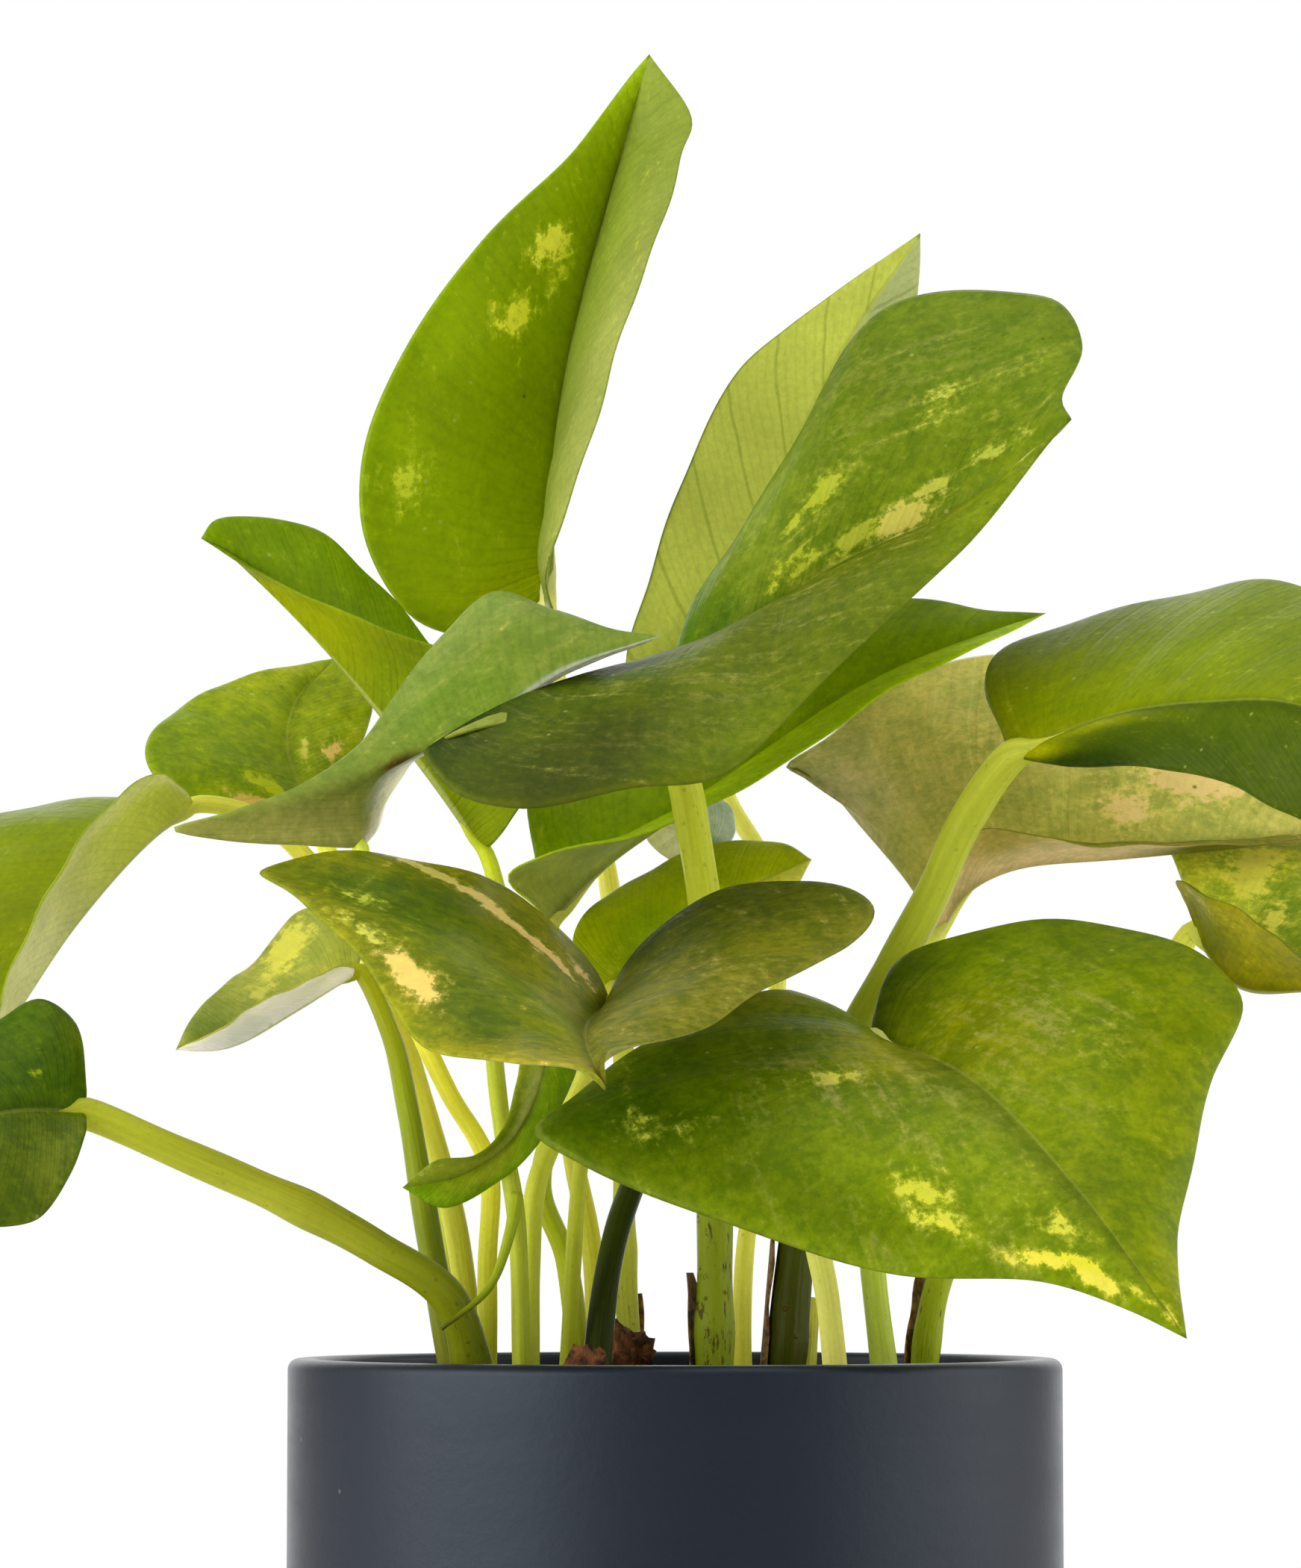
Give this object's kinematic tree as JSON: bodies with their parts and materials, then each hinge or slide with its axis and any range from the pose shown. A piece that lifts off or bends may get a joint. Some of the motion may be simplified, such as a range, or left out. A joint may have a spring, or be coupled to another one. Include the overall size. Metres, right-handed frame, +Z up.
{
  "type": "potted pothos plant",
  "caption": "Young golden pothos with large variegated heart-shaped leaves on long fleshy stalks, growing in soil in a straight-sided planter.",
  "frame": {"origin": "centre of the planter's flat base, on the surface it stands on", "axes": "+Z up along the planter's axis, -Y towards the front of the plant, +X to its right"},
  "size_m": [0.2377, 0.148, 0.323],
  "materials": {
    "pot": "satin",
    "soil": "matte",
    "leaf": "satin",
    "stem": "satin",
    "bark": "matte"
  },
  "bodies": {
    "root": {"pot": "pot", "soil": "soil", "leaf_tall_left": "leaf", "leaf_tall_back": "leaf", "leaf_big_center": "leaf", "leaf_upper_left": "leaf", "leaf_center_left": "leaf", "leaf_left_mid": "leaf", "leaf_left_reach": "leaf", "leaf_low_left": "leaf", "leaf_center_wide": "leaf", "leaf_front_right": "leaf", "leaf_right_reach": "leaf", "leaf_right_mid": "leaf", "leaf_center_small": "leaf", "leaf_right_back": "leaf", "leaf_right_low": "leaf", "leaf_low_left_small": "leaf", "leaf_young": "leaf", "leaf_back_small": "leaf", "stem_tall_left": "stem", "stem_tall_back": "stem", "stem_upper_left": "stem", "stem_center_left": "stem", "stem_left_mid": "stem", "stem_left_reach": "stem", "stem_low_left": "stem", "stem_low_left_small": "stem", "stem_center_wide": "stem", "stem_center_small": "stem", "stem_right_mid": "stem", "stem_back_small": "stem", "stem_big_center": "stem", "stem_front_right": "stem", "stem_right_reach": "stem", "stem_right_back": "stem", "stem_right_low": "stem", "stem_young": "stem", "stem_stub_a": "stem", "stem_sheath": "stem", "coir_chunk": "bark", "bark_chip": "bark"}
  },
  "joints": []
}
